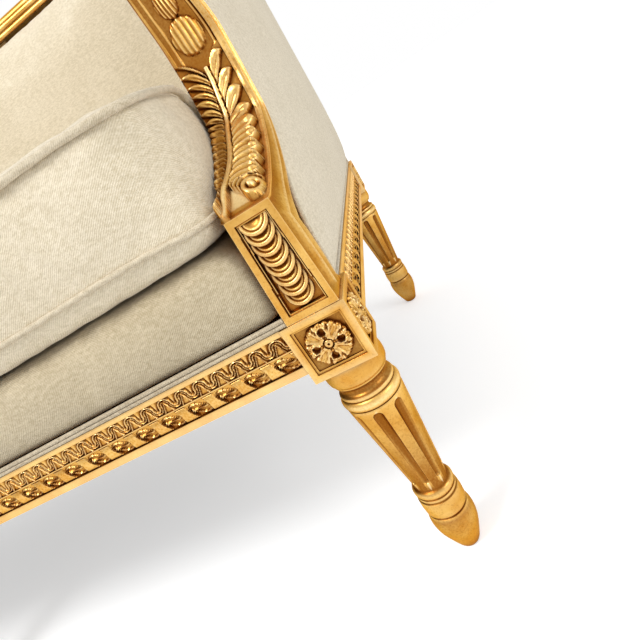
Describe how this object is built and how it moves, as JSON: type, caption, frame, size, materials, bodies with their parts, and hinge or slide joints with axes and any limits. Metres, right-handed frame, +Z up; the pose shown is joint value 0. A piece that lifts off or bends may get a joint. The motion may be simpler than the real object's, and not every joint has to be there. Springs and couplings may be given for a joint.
{
  "type": "recamier",
  "caption": "Carved and gilded recamier on fluted turned legs, with swept arm supports, a back that falls from a high end to a low end, and a loose welted linen seat cushion.",
  "frame": {"origin": "on the floor under the middle of the overall box", "axes": "+X along the seat towards the high end, +Y from the front to the back, +Z up"},
  "size_m": [1.6804, 0.7254, 0.8793],
  "materials": {
    "gilt_wood": "carved beech with burnished and toned gold leaf, brown in the hollows",
    "linen": "matt pale beige linen with a fine ribbed weave",
    "gimp": "flat double welt in pale beige linen",
    "beech_frame": "planed unfinished beech",
    "spring_steel": "bright drawn spring wire",
    "jute_webbing": "woven jute strip",
    "cambric": "thin black cambric"
  },
  "bodies": {
    "frame": {"leg_front_right": "gilt_wood", "leg_front_centre": "gilt_wood", "leg_front_left": "gilt_wood", "leg_rear_right": "gilt_wood", "leg_rear_centre": "gilt_wood", "leg_rear_left": "gilt_wood", "die_block_front_right": "gilt_wood", "die_block_front_centre": "gilt_wood", "die_block_front_left": "gilt_wood", "die_block_rear_right": "gilt_wood", "die_block_rear_centre": "gilt_wood", "die_block_rear_left": "gilt_wood", "front_rail_right": "gilt_wood", "front_rail_left": "gilt_wood", "rear_rail_right": "gilt_wood", "rear_rail_left": "gilt_wood", "side_rail_right": "gilt_wood", "side_rail_left": "gilt_wood", "arm_support_right": "gilt_wood", "arm_support_left": "gilt_wood", "arm_rail_right": "gilt_wood", "arm_rail_left": "gilt_wood", "crest_rail": "gilt_wood", "outside_end_right": "linen", "outside_end_left": "linen", "inside_end_pad_right": "linen", "inside_end_pad_left": "linen", "outside_back": "linen", "inside_back_pad": "linen", "seat_deck": "linen", "front_gimp": "gimp", "rear_post_right": "beech_frame", "rear_post_left": "beech_frame", "back_stile_centre": "beech_frame", "back_tack_rail_right": "beech_frame", "back_tack_rail_left": "beech_frame", "end_tack_rail_right": "beech_frame", "end_tack_rail_left": "beech_frame", "corner_brace_front_right": "beech_frame", "corner_brace_rear_right": "beech_frame", "corner_brace_front_left": "beech_frame", "corner_brace_rear_left": "beech_frame", "seat_stretcher": "beech_frame", "seat_spring_1": "spring_steel", "seat_spring_2": "spring_steel", "seat_spring_3": "spring_steel", "seat_spring_4": "spring_steel", "seat_spring_5": "spring_steel", "seat_spring_6": "spring_steel", "seat_spring_7": "spring_steel", "seat_spring_8": "spring_steel", "seat_spring_9": "spring_steel", "seat_spring_10": "spring_steel", "back_webbing": "jute_webbing", "end_webbing_right": "jute_webbing", "end_webbing_left": "jute_webbing", "dust_cover": "cambric"},
    "cushion": {"seat_cushion": "linen"}
  },
  "joints": [
    {"name": "cushion_lift", "type": "slide", "parent": "frame", "child": "cushion", "axis": [0, 0, 1], "range_m": [0, 0.12]}
  ]
}
